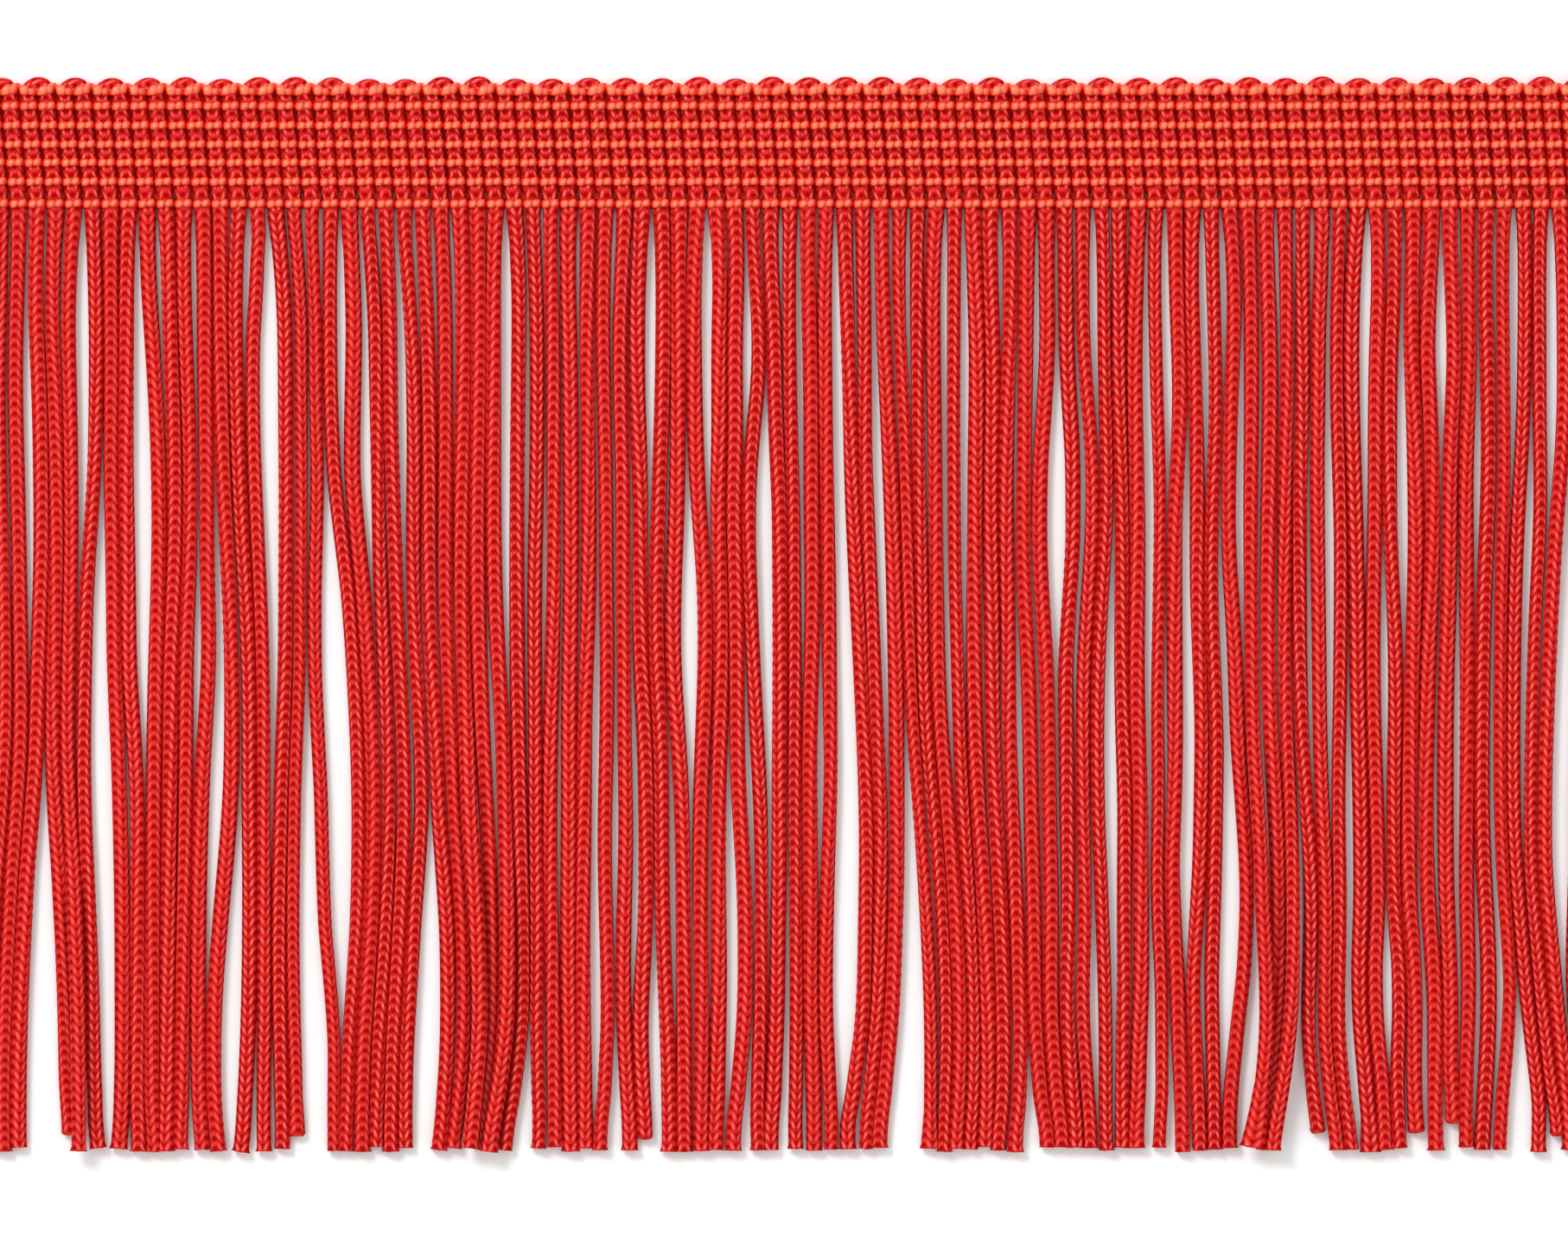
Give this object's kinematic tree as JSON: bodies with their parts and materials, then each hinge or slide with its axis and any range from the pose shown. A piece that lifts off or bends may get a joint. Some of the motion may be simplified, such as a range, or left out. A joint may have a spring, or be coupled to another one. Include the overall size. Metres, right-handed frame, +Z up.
{
  "type": "chainette fringe trim, cut length",
  "caption": "Flat cut length of chainette fringe: a ribbed knitted heading with a scalloped top edge, binding rows across it and free knitted strands below.",
  "frame": {"origin": "middle of the trimming's footprint, on the surface that it lies on", "axes": "+X along the heading, +Y from the strand tips to the scalloped edge, +Z up through the face"},
  "size_m": [0.1747, 0.1016, 0.0024],
  "materials": {
    "cord": "satin red knitted rayon cord",
    "binding_thread": "glossy orange-red twisted thread"
  },
  "bodies": {
    "root": {"heading_band": "cord", "fringe_strands": "cord", "binding_row_1": "binding_thread", "binding_row_2": "binding_thread", "binding_row_3": "binding_thread", "binding_row_4": "binding_thread", "binding_row_5": "binding_thread", "binding_row_6": "binding_thread", "binding_row_7": "binding_thread"}
  },
  "joints": []
}
